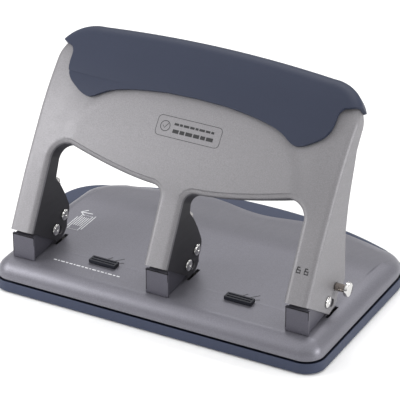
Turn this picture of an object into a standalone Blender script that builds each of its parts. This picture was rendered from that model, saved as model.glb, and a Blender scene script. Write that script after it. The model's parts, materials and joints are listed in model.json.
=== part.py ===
"""Three-hole lever punch, modelled as the separate pieces it is assembled from.

World frame in metres: +X along the row of heads, +Y towards the paper side, +Z up,
origin on the table under the middle of the bounding box.
Sizes below are in millimetres in the punch's own layout, where x = 0 is the middle
head, y = 0 is the front of the heads and z = 0 is the table; to_world() converts them.
"""
import math

import bmesh
import bpy
from mathutils import Matrix, Vector

# ---------------------------------------------------------------- driving sizes (mm)
SHIFT_X = 8.5            # middle head to the middle of the overall width
SHIFT_Y = -80.85         # front of the heads to the middle of the overall depth
PITCH = 107.95           # hole spacing of three-hole paper, 4 1/4 inch
HEADS = (("left", -PITCH), ("middle", 0.0), ("right", PITCH))
GAP = 0.3                # clearance kept between touching pieces

TRAY_HALF = 130.0        # tray half width on the plain side
TRAY_NEAR = -14.0
TRAY_FAR = 175.7
TRAY_RIM_Z = 8.8
TRAY_FLOOR_Z = 1.2
GUIDE_X = -139.7         # paper edge of an 11 inch sheet centred on the heads
BULGE_X = -147.0         # tray edge beside the paper guide

PLATE_HALF = 128.5
PLATE_NEAR = -12.6
PLATE_FAR = 168.5
PLATE_TOP = 22.6
PLATE_RIM_Z = 10.0
PLATE_BEND = 12.6
PLATE_THICK = 1.2
SCOOP_DEPTH = 10.0       # finger scoop in the middle of the far edge
SCOOP_HALF = 52.0

FULCRUM = (29.0, 34.6)   # y, z of the fulcrum pins
DRIVE = (41.2, 41.0)     # y, z of the drive pins, handle up
PUNCH_Y = 42.0
TRAVEL = 34.0            # handle travel in degrees

HANDLE_LEAN = 28.9       # face of the handle, degrees back from upright
HANDLE_FOOT = (-3.0, 48.1)   # y, z of the face at the lower edge of the legs
CURL_START = 62.0        # distance up the face where it starts to lean further back
CURL_RADIUS = 230.0
HANDLE_HALF = 117.15
LEG_HALF = 9.2
SHEET = 1.4              # thickness of the handle's sheet steel
BEND = 4.0               # outer bend radius of the handle's edges
CROWN_TOP = 158.8        # top of the handle along its face, at the middle
CROWN_DROP = 4.3
CORNER_R = 28.0

GUIDE_BOTTOM = 27.0      # punch guide: the paper throat is below it
GUIDE_TOP = 28.3
BRIDGE_BOTTOM = 46.0     # bridge that carries the return spring
BRIDGE_TOP = 47.5
SPRING_CAP_Z = 64.8
PUNCH_TIP = 27.3
PUNCH_R = 3.5            # cutting radius, a 7 mm hole
STEM_R = 2.5             # thin upper end that carries the spring
DIE_R = 5.5
DIE_BORE = 3.65
FULCRUM_R = 2.5
DRIVE_R = 2.0
LOCK_R = 2.8             # thick part of the lock pin
SCREW_R = 2.0
SCREW_HOLE_R = SCREW_R + GAP
RAIL_BOTTOM = 12.5
RAIL_TOP = 14.0
FOOT_SCREW_Y = 7.0       # screw that holds each head
LATCH_X, LATCH_Y = 54.0, 20.2
FOOT_R = 7.0
FEET = (("foot_near_left", -112.0, 8.0), ("foot_near_right", 112.0, 8.0),
        ("foot_far_left", -96.0, 130.0), ("foot_far_right", 96.0, 130.0))


def to_world(x, y, z):
    """Layout millimetres to world metres."""
    return Vector((x + SHIFT_X, y + SHIFT_Y, z)) * 0.001


# ---------------------------------------------------------------- materials
def material(name, rgb, roughness, metallic=0.0):
    mat = bpy.data.materials.new(name)
    mat.use_nodes = True
    shader = mat.node_tree.nodes["Principled BSDF"]
    shader.inputs["Base Color"].default_value = (*rgb, 1.0)
    shader.inputs["Roughness"].default_value = roughness
    shader.inputs["Metallic"].default_value = metallic
    return mat


# ---------------------------------------------------------------- building tools
def add_object(name, bm, mat, smooth_angle=None):
    """Turn a bmesh in layout millimetres into a named world object."""
    for v in bm.verts:
        v.co = to_world(*v.co)
    if not any(edge.is_boundary for edge in bm.edges):
        bmesh.ops.recalc_face_normals(bm, faces=bm.faces)
    mesh = bpy.data.meshes.new(name)
    bm.to_mesh(mesh)
    bm.free()
    if smooth_angle is not None:
        mesh.shade_smooth()
        mesh.set_sharp_from_angle(angle=math.radians(smooth_angle))
    if mat is not None:
        mesh.materials.append(mat)
    obj = bpy.data.objects.new(name, mesh)
    bpy.context.scene.collection.objects.link(obj)
    return obj


def set_origin(obj, x, y, z):
    """Move an object's origin to a layout point and keep its shape in place."""
    point = to_world(x, y, z)
    obj.data.transform(Matrix.Translation(-point))
    obj.location = point


def combine(target, tool, operation):
    """Add an exact boolean of target with tool; the tool stays as a hidden wire."""
    tool.hide_render = True
    tool.display_type = 'WIRE'
    mod = target.modifiers.new(tool.name, 'BOOLEAN')
    mod.operation = operation
    mod.solver = 'EXACT'
    mod.object = tool


def cut(target, *tools):
    for tool in tools:
        combine(target, tool, 'DIFFERENCE')


def join(target, *tools):
    for tool in tools:
        combine(target, tool, 'UNION')


def block_mesh(low, high):
    bm = bmesh.new()
    bmesh.ops.create_cube(bm, size=1.0)
    for v in bm.verts:
        for k in range(3):
            v.co[k] = low[k] if v.co[k] < 0 else high[k]
    return bm


def block(name, low, high, mat=None, bevel=0.0):
    """A rectangular block between two layout corners, with optional rounded edges."""
    bm = block_mesh(low, high)
    if bevel:
        bmesh.ops.bevel(bm, geom=bm.edges[:], offset=bevel, segments=1, affect='EDGES')
    return add_object(name, bm, mat)


def extrude_outline(points, axis, start, end):
    """Extrude a closed outline along 'x' (points are y, z) or 'z' (points are x, y)."""
    bm = bmesh.new()
    if axis == 'x':
        verts = [bm.verts.new((start, u, v)) for u, v in points]
        step = Vector((end - start, 0, 0))
    else:
        verts = [bm.verts.new((u, v, start)) for u, v in points]
        step = Vector((0, 0, end - start))
    face = bm.faces.new(verts)
    moved = bmesh.ops.extrude_face_region(bm, geom=[face])
    new_verts = [g for g in moved["geom"] if isinstance(g, bmesh.types.BMVert)]
    bmesh.ops.translate(bm, verts=new_verts, vec=step)
    return bm


def prism(name, points, axis, start, end, mat=None):
    return add_object(name, extrude_outline(points, axis, start, end), mat)


def turned_mesh(profile, centre, axis, sides):
    """Spin a closed (radius, height) profile about an axis through centre."""
    bm = bmesh.new()
    rings = []
    for radius, height in profile:
        if radius < 1e-6:
            rings.append([bm.verts.new((0, 0, height))])
            continue
        ring = []
        for k in range(sides):
            a = 2 * math.pi * k / sides
            ring.append(bm.verts.new((radius * math.cos(a), radius * math.sin(a), height)))
        rings.append(ring)
    closed = profile[0][0] > 1e-6
    pairs = list(zip(rings, rings[1:]))
    if closed:
        pairs.append((rings[-1], rings[0]))
    for low, high in pairs:
        for k in range(sides):
            n = (k + 1) % sides
            quad = [low[k % len(low)], low[n % len(low)], high[n % len(high)],
                    high[k % len(high)]]
            corners = list(dict.fromkeys(quad))
            bm.faces.new(corners)
    if axis == 'x':
        turn = Matrix.Rotation(math.radians(90), 4, 'Y')
        bmesh.ops.transform(bm, matrix=turn, verts=bm.verts)
    bmesh.ops.translate(bm, verts=bm.verts, vec=Vector(centre))
    return bm


def turned(name, profile, centre, axis='z', sides=16, mat=None):
    return add_object(name, turned_mesh(profile, centre, axis, sides), mat, 35)


def rod(name, radius, start, end, centre, axis='z', sides=16, mat=None):
    """A plain round bar between two heights along its axis."""
    profile = [(0, start), (radius, start), (radius, end), (0, end)]
    return turned(name, profile, centre, axis, sides, mat)


def arc(centre, radius, start, end, steps):
    """Points on an arc, angles in degrees, both ends included."""
    out = []
    for k in range(steps + 1):
        a = math.radians(start + (end - start) * k / steps)
        out.append((centre[0] + radius * math.cos(a), centre[1] + radius * math.sin(a)))
    return out


def smooth_step(t):
    t = min(1.0, max(0.0, t))
    return t * t * (3 - 2 * t)


def inset_outline(points, distance):
    """Move each point of a counter-clockwise outline inwards."""
    out = []
    count = len(points)
    for k, point in enumerate(points):
        before = Vector(points[k - 1])
        after = Vector(points[(k + 1) % count])
        along = (after - before).normalized()
        out.append((point[0] - along.y * distance, point[1] + along.x * distance))
    return out


# ---------------------------------------------------------------- base outlines
def far_edge(half, corner_y, far, steps):
    """Bulged far edge from +x to -x, as points on a shallow crown."""
    out = []
    for k in range(steps + 1):
        x = half * math.cos(math.pi * k / steps)
        y = far - (far - corner_y) * (abs(x) / half) ** 2.2
        out.append((x, y))
    return out


def plate_outline():
    """Outline of the base plate at its lower edge, counter-clockwise."""
    near_r = 14.0
    far_r = 36.0
    half = PLATE_HALF
    shoulder = 119.0
    out = arc((-half + near_r, PLATE_NEAR + near_r), near_r, 180, 270, 5)
    out += arc((half - near_r, PLATE_NEAR + near_r), near_r, 270, 360, 5)
    out += [(half, y) for y in (45.0, 96.0)]
    out += arc((half - far_r, shoulder), far_r, 0, 62, 5)
    crown = far_edge(half - far_r + 10.0, 152.5, PLATE_FAR, 18)[1:-1]
    for x, y in crown:
        scoop = SCOOP_DEPTH * (1 - smooth_step(abs(x) / SCOOP_HALF))
        out.append((x, y - scoop))
    out += arc((-half + far_r, shoulder), far_r, 118, 180, 5)
    out += [(-half, y) for y in (96.0, 45.0)]
    return out


def tray_outline():
    """Outline of the tray, counter-clockwise, widened on the left by the paper guide."""
    near_r = 15.0
    far_r = 37.0
    half = TRAY_HALF
    out = arc((-half + near_r, TRAY_NEAR + near_r), near_r, 180, 270, 6)
    out += arc((half - near_r, TRAY_NEAR + near_r), near_r, 270, 360, 6)
    out += [(half, 60.0)]
    out += arc((half - far_r, 119.0), far_r, 0, 58, 7)
    out += far_edge(half - far_r + 11.0, 156.0, TRAY_FAR, 14)[1:-1]
    out += arc((BULGE_X + 34.0, 115.5), 34.0, 112, 180, 6)
    for k in range(7):
        out.append((BULGE_X - (half + BULGE_X) * smooth_step(k / 6), 78.0 - 8.0 * k))
    return out


# ---------------------------------------------------------------- base pieces
def build_tray(mat):
    """Bottom tray that catches the chips, with the paper guide on its left ledge."""
    tray = prism("chip_tray", tray_outline(), 'z', TRAY_FLOOR_Z, TRAY_RIM_Z, mat)
    hollow = prism("tray_hollow", inset_outline(plate_outline(), 0.4), 'z',
                   TRAY_FLOOR_Z + 1.8, TRAY_RIM_Z + 5)
    cut(tray, hollow)
    wall = 2.6
    guide = block("paper_guide_wall", (GUIDE_X - wall, 64.0, TRAY_RIM_Z - 2),
                  (GUIDE_X, 104.0, 27.0))
    join(tray, guide)
    for side in (-1, 1):
        post = block("latch_post", (side * LATCH_X - 4, 27.6, TRAY_FLOOR_Z + 1),
                     (side * LATCH_X + 4, 30.4, 14.6))
        join(tray, post)
    for name, x, y in FEET:
        cut(tray, rod(name + "_pocket", FOOT_R + GAP, 0.0, 2.5, (x, y, 0)))


def build_feet(mat):
    for name, x, y in FEET:
        profile = [(0, 0), (FOOT_R - 1.0, 0), (FOOT_R, 0.8), (FOOT_R, 2.2), (0, 2.2)]
        turned(name, profile, (x, y, 0), 'z', 16, mat)


def plate_rise(y):
    """Rise of the plate above its rim: level over the dies, sloping to the far edge."""
    slope = smooth_step((y - 96.0) / 74.0)
    return (PLATE_TOP - PLATE_RIM_Z) * (1 - slope) + 1.6 * slope


def build_plate(mat):
    """Pressed pan: rounded near and side edges, and a long slope to the far edge."""
    outline = plate_outline()
    bm = bmesh.new()
    rings = []
    for share in (0.0, 0.1, 0.3, 0.6, 1.0):
        rise = math.sqrt(1 - (1 - share) ** 2)
        ring = [bm.verts.new((x, y, PLATE_RIM_Z + plate_rise(y) * rise))
                for x, y in inset_outline(outline, share * PLATE_BEND)]
        rings.append(ring)
    for low, high in zip(rings, rings[1:]):
        for k in range(len(outline)):
            n = (k + 1) % len(outline)
            bm.faces.new((low[k], low[n], high[n], high[k]))
    top = [bm.faces.new(rings[-1])]
    for k in range(8):
        edges = {e for f in top for e in f.edges}
        verts = {v for f in top for v in f.verts}
        split = bmesh.ops.bisect_plane(bm, geom=top + list(edges) + list(verts),
                                       plane_co=(0, 100.0 + 7.0 * k, 0),
                                       plane_no=(0, 1, 0))
        top = [g for g in split["geom"] if isinstance(g, bmesh.types.BMFace)]
    for v in {v for f in top for v in f.verts}:
        v.co.z = PLATE_RIM_Z + plate_rise(v.co.y)
    bmesh.ops.triangulate(bm, faces=top)
    plate = add_object("base_plate", bm, mat, 40)
    skin = plate.modifiers.new("sheet", 'SOLIDIFY')
    skin.thickness = PLATE_THICK * 0.001
    skin.offset = -1.0
    skin.use_even_offset = True
    for name, x in HEADS:
        cut(plate,
            rod(name + "_die_hole", PUNCH_R + GAP, 18.0, 26.0, (x, PUNCH_Y, 0)),
            rod(name + "_foot_hole", SCREW_HOLE_R, 18.0, 26.0, (x, FOOT_SCREW_Y, 0)))
        for side in (-1, 1):
            ear = x + side * (LEG_HALF - SHEET / 2)
            cut(plate, block(name + "_ear_slot", (ear - 1.4, 28.5, 18.0),
                             (ear + 1.4, 45.5, 26.0)))
    for side in (-1, 1):
        x = side * LATCH_X
        cut(plate, block("latch_slot", (x - 5.6, LATCH_Y - 3.3, 18.0),
                         (x + 5.6, LATCH_Y + 3.3, 26.0)))


def build_rail(mat):
    """Steel channel under the plate that ties the heads and holds the dies."""
    near, far = 3.0, 54.0
    outline = [(near, RAIL_BOTTOM), (far, RAIL_BOTTOM), (far, 21.1), (far - 1.5, 21.1),
               (far - 1.5, RAIL_TOP), (near + 1.5, RAIL_TOP), (near + 1.5, 21.1),
               (near, 21.1)]
    rail = prism("die_rail", outline, 'x', -115.0, 115.0, mat)
    for name, x in HEADS:
        cut(rail,
            rod(name + "_die_seat", DIE_R + GAP, 10.0, 18.0, (x, PUNCH_Y, 0)),
            rod(name + "_rail_hole", SCREW_HOLE_R, 10.0, 18.0, (x, FOOT_SCREW_Y, 0)))
    for side in (-1, 1):
        x = side * LATCH_X
        cut(rail, block("post_window", (x - 5, 26.6, 10.0), (x + 5, 31.4, 18.0)))


def build_dies(mat):
    for name, x in HEADS:
        profile = [(DIE_BORE, 12.0), (DIE_R, 12.0), (DIE_R, 20.9), (DIE_BORE, 20.9)]
        turned(name + "_die_bush", profile, (x, PUNCH_Y, 0), 'z', 20, mat)


def build_latches(mat):
    """Ridged tabs on the plate that let the tray go when pushed to the near edge."""
    for name, side in (("left", -1), ("right", 1)):
        x = side * LATCH_X
        bottom, top = PLATE_TOP + GAP, PLATE_TOP + 3.0
        cap = block(name + "_tray_latch", (x - 10.5, LATCH_Y - 3.5, bottom),
                    (x + 10.5, LATCH_Y + 3.5, top), mat, bevel=0.6)
        stem = block("latch_stem", (x - 5.0, LATCH_Y + 1.0, 15.2),
                     (x + 5.0, LATCH_Y + 3.0, bottom + 0.8))
        nose = block("latch_nose", (x - 5.0, LATCH_Y + 1.5, 15.2),
                     (x + 5.0, LATCH_Y + 9.0, 17.2))
        join(cap, stem, nose)
        for groove in (-1.2, 1.2):
            cut(cap, block("latch_groove", (x - 8.8, LATCH_Y + groove - 0.45, top - 0.9),
                           (x + 8.8, LATCH_Y + groove + 0.45, top + 1)))


# ---------------------------------------------------------------- punch heads
def build_bracket(name, x, mat):
    """Folded head bracket: front plate, two cheeks, punch guide, spring bridge, foot."""
    wall, inner = 7.3, 5.8
    base = PLATE_TOP + GAP
    side = [(1.5, base), (12.0, base), (33.0, 25.2), (34.5, GUIDE_BOTTOM),
            (48.0, GUIDE_BOTTOM), (48.0, BRIDGE_TOP), (24.0, BRIDGE_TOP), (10.0, 41.8),
            (1.5, 41.8)]
    bracket = prism(name + "_head_bracket", side, 'x', x - wall, x + wall, mat)
    front = block(name + "_front", (x - 8.85, 0.0, base), (x + 8.85, 1.8, 41.8),
                  bevel=0.5)
    join(bracket, front)
    channel = [(3.2, 25.2), (31.0, GUIDE_TOP), (49.0, GUIDE_TOP), (49.0, BRIDGE_BOTTOM),
               (31.0, BRIDGE_BOTTOM), (31.0, 60.0), (3.2, 60.0)]
    down = math.radians(27.7 - TRAVEL)
    reach = math.dist(FULCRUM, DRIVE)
    lock_y = FULCRUM[0] + reach * math.cos(down)
    lock_z = FULCRUM[1] + reach * math.sin(down)
    cut(bracket,
        prism(name + "_channel", channel, 'x', x - inner, x + inner),
        block(name + "_notch", (x - 9, 37.2, 37.4), (x + 9, 50.0, BRIDGE_BOTTOM)),
        block(name + "_neck", (x - 9, lock_y - 2.5, lock_z), (x + 9, lock_y + 2.3, 39.0)),
        rod(name + "_lock_hole", 3.2, -9, 9, (x, lock_y, lock_z), 'x'),
        rod(name + "_fulcrum_hole", FULCRUM_R + GAP, -9, 9, (x, *FULCRUM), 'x'),
        rod(name + "_guide_hole", PUNCH_R + GAP, 24.0, 30.0, (x, PUNCH_Y, 0)),
        rod(name + "_bridge_hole", STEM_R + GAP, 44.0, 50.0, (x, PUNCH_Y, 0)),
        rod(name + "_screw_hole", SCREW_HOLE_R, 20.0, 30.0, (x, FOOT_SCREW_Y, 0)))


def dome_pin(name, x, centre, shank, mat):
    """Round pin across a leg with a domed head at each end."""
    half = LEG_HALF + GAP
    head = 4.25
    end = [(shank, half), (head, half), (head * 0.85, half + 0.9), (0, half + 1.35)]
    profile = [(radius, -height) for radius, height in reversed(end)] + end
    return turned(name, profile, (x, *centre), 'x', 16, mat)


def build_punch(name, x, mat):
    """Hardened punch: cutting shank, slotted driving body and spring stem."""
    body_r = 5.0
    profile = [(0, PUNCH_TIP + 0.9), (PUNCH_R - 0.9, PUNCH_TIP + 0.9),
               (PUNCH_R, PUNCH_TIP), (PUNCH_R, 37.6), (body_r, 37.6), (body_r, 45.3),
               (STEM_R, 45.3), (STEM_R, SPRING_CAP_Z + 2.0), (0, SPRING_CAP_Z + 2.0)]
    punch = turned(name + "_punch", profile, (x, PUNCH_Y, 0), 'z', 20, mat)
    slot = block(name + "_drive_slot", (x - 6, PUNCH_Y - 3.1, DRIVE[1] - 2.3),
                 (x + 6, PUNCH_Y + 3.1, DRIVE[1] + 2.3))
    cut(punch, slot)
    bore, rim = STEM_R + GAP, 5.2
    cap_profile = [(bore, SPRING_CAP_Z), (rim, SPRING_CAP_Z), (rim, SPRING_CAP_Z + 1.4),
                   (rim - 0.6, SPRING_CAP_Z + 2.0), (bore, SPRING_CAP_Z + 2.0)]
    turned(name + "_spring_cap", cap_profile, (x, PUNCH_Y, 0), 'z', 16, mat)


def build_spring(name, x, mat):
    """Return spring wound round the punch stem, between the bridge and its cap."""
    wire, mean = 0.55, 3.9
    low = BRIDGE_TOP + GAP + wire
    high = SPRING_CAP_Z - GAP - wire
    turns, steps, sides = 5, 10, 5
    bm = bmesh.new()
    rings = []
    total = turns * steps
    for k in range(total + 1):
        a = 2 * math.pi * k / steps
        out = Vector((math.cos(a), math.sin(a), 0))
        centre = Vector((x, PUNCH_Y, low + (high - low) * k / total)) + out * mean
        ring = []
        for j in range(sides):
            b = 2 * math.pi * j / sides
            ring.append(bm.verts.new(centre + out * wire * math.cos(b)
                                     + Vector((0, 0, wire * math.sin(b)))))
        rings.append(ring)
    for low_ring, high_ring in zip(rings, rings[1:]):
        for j in range(sides):
            n = (j + 1) % sides
            bm.faces.new((low_ring[j], low_ring[n], high_ring[n], high_ring[j]))
    bm.faces.new(rings[0])
    bm.faces.new(rings[-1])
    add_object(name + "_return_spring", bm, mat, 50)


def build_head_screw(name, x, mat):
    profile = [(0, 9.6), (3.4, 9.6), (3.8, 10.2), (3.8, RAIL_BOTTOM - GAP),
               (SCREW_R, RAIL_BOTTOM - GAP), (SCREW_R, 24.4), (0, 24.4)]
    turned(name + "_head_screw", profile, (x, FOOT_SCREW_Y, 0), 'z', 16, mat)


# ---------------------------------------------------------------- handle
def on_handle(x, along, depth):
    """Layout point at a distance along the handle's curled face and behind it."""
    if along <= CURL_START:
        rise, back, tilt = along, 0.0, 0.0
    else:
        tilt = (along - CURL_START) / CURL_RADIUS
        rise = CURL_START + CURL_RADIUS * math.sin(tilt)
        back = CURL_RADIUS * (1 - math.cos(tilt))
    back += depth * math.cos(tilt)
    rise -= depth * math.sin(tilt)
    lean = math.radians(HANDLE_LEAN)
    y = HANDLE_FOOT[0] + rise * math.sin(lean) + back * math.cos(lean)
    z = HANDLE_FOOT[1] + rise * math.cos(lean) - back * math.sin(lean)
    return Vector((x, y, z))


EAR = ((-1.5, 42.0, -3.2), (3.0, 50.0, 0.0), (10.8, 48.0, 0.0), (15.2, 49.2, 0.0),
       (22.3, 46.9, 0.0), (30.0, 36.5, 0.0), (36.3, 26.0, 0.0), (40.1, 17.0, 0.0))
OUTER_EAR = ((-1.5, 42.0, -3.2), (3.0, 50.0, 0.0), (11.0, 48.6, 0.0), (16.6, 54.0, 0.0),
             (20.5, 55.6, 0.0), (25.0, 53.2, 0.0), (39.0, 44.6, 0.0), (53.8, 35.4, 0.0),
             (71.0, 28.6, 0.0), (88.7, 23.6, 0.0), (102.8, 19.2, 0.0), (113.0, 15.0, 0.0))


def window_chain():
    """Edge of the right window from the middle leg's foot round to the outer leg's foot.

    Each point is (x, along, bend radius, flange depth, drop of the flange's far edge).
    """
    inner = LEG_HALF
    outer = PITCH - LEG_HALF
    chain = [(inner, a, BEND, depth, drop) for a, depth, drop in EAR]
    for x, a in arc((inner + 8.0, 46.0), 8.0, 180, 90, 4):
        chain.append((x, a, BEND, 15.0, 0.0))
    for k in range(1, 10):
        t = k / 9
        x = inner + 8.0 + (86.0 - inner - 8.0) * t
        chain.append((x, 54.0 + 12.8 * t ** 1.5, BEND, 13.0, 0.0))
    for x, a in arc((86.0, 54.05), outer - 86.0, 75, 0, 5):
        chain.append((x, a, BEND, 15.0, 0.0))
    chain += [(outer, a, BEND, depth, drop) for a, depth, drop in reversed(EAR)]
    return chain


def crown_along(x):
    return CROWN_TOP - CROWN_DROP * (x / 88.0) ** 2


def top_chain():
    """Right half of the handle's upper edge, from the rounded corner to the middle."""
    chain = []
    corner_top = crown_along(HANDLE_HALF - CORNER_R)
    centre = (HANDLE_HALF - CORNER_R, corner_top - CORNER_R)
    for k, (x, a) in enumerate(arc(centre, CORNER_R, 0, 90, 7)):
        share = k / 7
        chain.append((x, a, BEND + 3.0 * share, 13.0, 0.0))
    for k in range(1, 5):
        x = centre[0] * (1 - k / 4)
        chain.append((x, crown_along(x), BEND + 3.0, 13.0, 0.0))
    return chain


def mirrored(chain):
    return [(-x, a, r, depth, drop) for x, a, r, depth, drop in reversed(chain)]


def outer_chain():
    """Outer edge from the right leg's foot over the top to the left leg's foot."""
    right = [(HANDLE_HALF, a, BEND, depth, drop) for a, depth, drop in OUTER_EAR]
    right += top_chain()
    return right + mirrored(right[:-1])


def skin_surface(chains, corners, skin):
    """Sheet surface: a face bounded by chains, with a bend and flange on each chain.

    corners lists, for each chain, plain face points that follow it before the next one.
    skin is how far the surface stands off the handle's outer surface.
    """
    bm = bmesh.new()
    outline = []
    for chain, extra in zip(chains, corners):
        columns = []
        for k, (x, a, radius, depth, drop) in enumerate(chain):
            before = chain[max(k - 1, 0)]
            after = chain[min(k + 1, len(chain) - 1)]
            along = Vector((after[0] - before[0], after[1] - before[1])).normalized()
            out = Vector((along.y, -along.x))
            base = Vector((x, a)) - out * radius
            column = []
            for turn in (0.0, 45.0, 90.0):
                t = math.radians(turn)
                flat = base + out * (radius + skin) * math.sin(t)
                back = radius - (radius + skin) * math.cos(t)
                column.append(bm.verts.new((flat.x, flat.y, back)))
            flat = base + out * (radius + skin)
            column.append(bm.verts.new((flat.x, flat.y + drop, depth)))
            columns.append(column)
        for left, right in zip(columns, columns[1:]):
            for j in range(len(left) - 1):
                bm.faces.new((left[j], left[j + 1], right[j + 1], right[j]))
        outline += [column[0] for column in columns]
        outline += [bm.verts.new((x, a, -skin)) for x, a in extra]
    face = [bm.faces.new(outline)]
    for k in range(10):
        edges = {e for f in face for e in f.edges}
        verts = {v for f in face for v in f.verts}
        split = bmesh.ops.bisect_plane(bm, geom=face + list(edges) + list(verts),
                                       plane_co=(0, CURL_START + 10.0 * k, 0),
                                       plane_no=(0, 1, 0))
        face = [g for g in split["geom"] if isinstance(g, bmesh.types.BMFace)]
    bmesh.ops.triangulate(bm, faces=face)
    for v in bm.verts:
        v.co = on_handle(*v.co)
    return bm


def build_handle(mat):
    """Pressed steel handle: one face on three channel legs with ears for the pins."""
    window = window_chain()
    chains = (outer_chain(), mirrored(window), window)
    bm = skin_surface(chains, ((), (), ()), 0.0)
    handle = add_object("handle_shell", bm, mat, 40)
    skin = handle.modifiers.new("sheet", 'SOLIDIFY')
    skin.thickness = SHEET * 0.001
    skin.offset = -1.0
    lean = math.radians(HANDLE_LEAN)
    back = Vector((math.cos(lean), -math.sin(lean)))
    across = Vector((-back.y, back.x))
    slot = []
    for centre, first in ((8.0, -90), (0.0, 90)):
        for u, v in arc((centre, 0.0), 2.9, first, first + 180, 6):
            point = Vector(FULCRUM) + back * u + across * v
            slot.append((point.x, point.y))
    reach = HANDLE_HALF + 4
    cut(handle,
        rod("drive_pin_holes", DRIVE_R + GAP, -reach, reach, (0, *DRIVE), 'x'),
        rod("lock_pin_hole", LOCK_R + GAP, PITCH + 6.5, PITCH + 12, (0, *DRIVE), 'x'),
        prism("fulcrum_slots", slot, 'x', -reach, reach))
    set_origin(handle, 0.0, *FULCRUM)


def build_grip(mat):
    """Soft grip moulded over the top of the handle, with a lobe near each end."""
    lobe = [(106.5, 135.2), (104.2, 132.5), (103.3, 129.0), (103.0, 122.0), (101.3, 116.0),
            (97.0, 110.4), (91.0, 106.2), (86.0, 103.4), (81.0, 102.2), (76.5, 103.6),
            (70.0, 107.6), (61.0, 111.4), (44.0, 115.0), (24.0, 117.5)]
    lower = [(-x, a) for x, a in lobe] + [(0.0, 118.2)] + list(reversed(lobe))
    right = [(x, a, radius, 12.6, drop) for x, a, radius, _, drop in top_chain()[2:]]
    top = right + mirrored(right[:-1])
    bm = skin_surface((top,), (lower,), GAP)
    grip = add_object("handle_grip", bm, mat, 40)
    skin = grip.modifiers.new("moulding", 'SOLIDIFY')
    skin.thickness = 0.0027
    skin.offset = 1.0
    set_origin(grip, 0.0, *FULCRUM)


def build_lock_pin(mat):
    """Right head's driving pin, which slides inwards to lock the handle down."""
    knob_r = 5.2
    profile = [(0, -9.0), (DRIVE_R, -9.0), (DRIVE_R, 9.6), (LOCK_R, 9.6), (LOCK_R, 17.0),
               (knob_r, 17.0), (knob_r, 19.4), (knob_r - 0.8, 20.2), (0, 20.2)]
    pin = turned("lock_pin", profile, (PITCH, *DRIVE), 'x', 16, mat)
    set_origin(pin, PITCH, *DRIVE)


def main():
    for obj in list(bpy.data.objects):
        bpy.data.objects.remove(obj)
    tray_plastic = material("tray_plastic", (0.135, 0.155, 0.215), 0.5)
    silver_paint = material("silver_paint", (0.30, 0.30, 0.33), 0.38, 0.6)
    bracket_paint = material("bracket_paint", (0.17, 0.165, 0.19), 0.42, 0.4)
    latch_plastic = material("latch_plastic", (0.03, 0.033, 0.045), 0.5)
    soft_grip = material("soft_grip", (0.055, 0.065, 0.115), 0.62)
    plain_steel = material("plain_steel", (0.45, 0.45, 0.46), 0.35, 1.0)
    bright_steel = material("bright_steel", (0.75, 0.75, 0.77), 0.16, 1.0)
    foot_rubber = material("foot_rubber", (0.02, 0.02, 0.022), 0.85)
    build_tray(tray_plastic)
    build_feet(foot_rubber)
    build_plate(silver_paint)
    build_rail(plain_steel)
    build_dies(plain_steel)
    build_latches(latch_plastic)
    for name, x in HEADS:
        build_bracket(name, x, bracket_paint)
        dome_pin(name + "_fulcrum_pin", x, FULCRUM, FULCRUM_R, bright_steel)
        build_punch(name, x, plain_steel)
        build_spring(name, x, bright_steel)
        build_head_screw(name, x, plain_steel)
    for name, x in HEADS[:2]:
        drive_pin = dome_pin(name + "_drive_pin", x, DRIVE, DRIVE_R, bright_steel)
        set_origin(drive_pin, x, *FULCRUM)
    build_handle(silver_paint)
    build_grip(soft_grip)
    build_lock_pin(bright_steel)


main()
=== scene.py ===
"""Looks of a lever hole punch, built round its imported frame.

The pieces are modelled in millimetres in the punch's own layout, where x = 0 is the
middle head, y = 0 is the front of the heads and z = 0 is the table, and to_world()
puts them in the frame. Distances on the handle are (x, along its face, depth behind it).
"""
import json
import math

import bmesh
import bpy
from mathutils import Matrix, Vector


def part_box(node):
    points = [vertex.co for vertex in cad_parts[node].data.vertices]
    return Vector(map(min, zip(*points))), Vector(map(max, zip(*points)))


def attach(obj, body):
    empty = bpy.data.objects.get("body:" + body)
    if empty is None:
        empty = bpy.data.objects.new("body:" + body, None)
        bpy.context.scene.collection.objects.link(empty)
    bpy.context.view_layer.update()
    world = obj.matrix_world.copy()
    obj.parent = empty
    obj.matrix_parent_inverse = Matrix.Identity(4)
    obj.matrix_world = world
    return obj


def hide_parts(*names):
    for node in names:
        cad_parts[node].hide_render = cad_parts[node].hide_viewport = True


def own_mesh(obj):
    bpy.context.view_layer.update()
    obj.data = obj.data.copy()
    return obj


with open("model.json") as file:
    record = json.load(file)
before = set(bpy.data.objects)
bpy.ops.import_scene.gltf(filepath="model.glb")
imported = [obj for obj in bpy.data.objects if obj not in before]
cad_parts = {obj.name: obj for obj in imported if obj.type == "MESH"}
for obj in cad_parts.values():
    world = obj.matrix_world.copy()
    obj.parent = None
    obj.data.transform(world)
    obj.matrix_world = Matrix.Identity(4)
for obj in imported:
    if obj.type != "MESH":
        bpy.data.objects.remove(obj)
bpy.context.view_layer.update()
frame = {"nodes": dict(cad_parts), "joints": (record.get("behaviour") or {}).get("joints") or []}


# ---------------------------------------------------------------- sizes from the frame
def box_mm(node):
    low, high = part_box(node)
    return low * 1000, high * 1000


def middle_mm(node):
    low, high = box_mm(node)
    return (low + high) / 2


HINGE = next(j for j in frame["joints"] if j["name"] == "handle_press")
FULCRUM = (29.0, HINGE["pos_m"][2] * 1000)
ORIGIN = Vector((middle_mm("middle_fulcrum_pin").x, HINGE["pos_m"][1] * 1000 - FULCRUM[0], 0))
PITCH = middle_mm("right_die_bush").x - ORIGIN.x
DRIVE = (middle_mm("middle_drive_pin").y - ORIGIN.y, middle_mm("middle_drive_pin").z)
PUNCH_Y = middle_mm("middle_punch").y - ORIGIN.y
HEADS = (("left", -PITCH), ("middle", 0.0), ("right", PITCH))
GAP = 0.3

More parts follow.
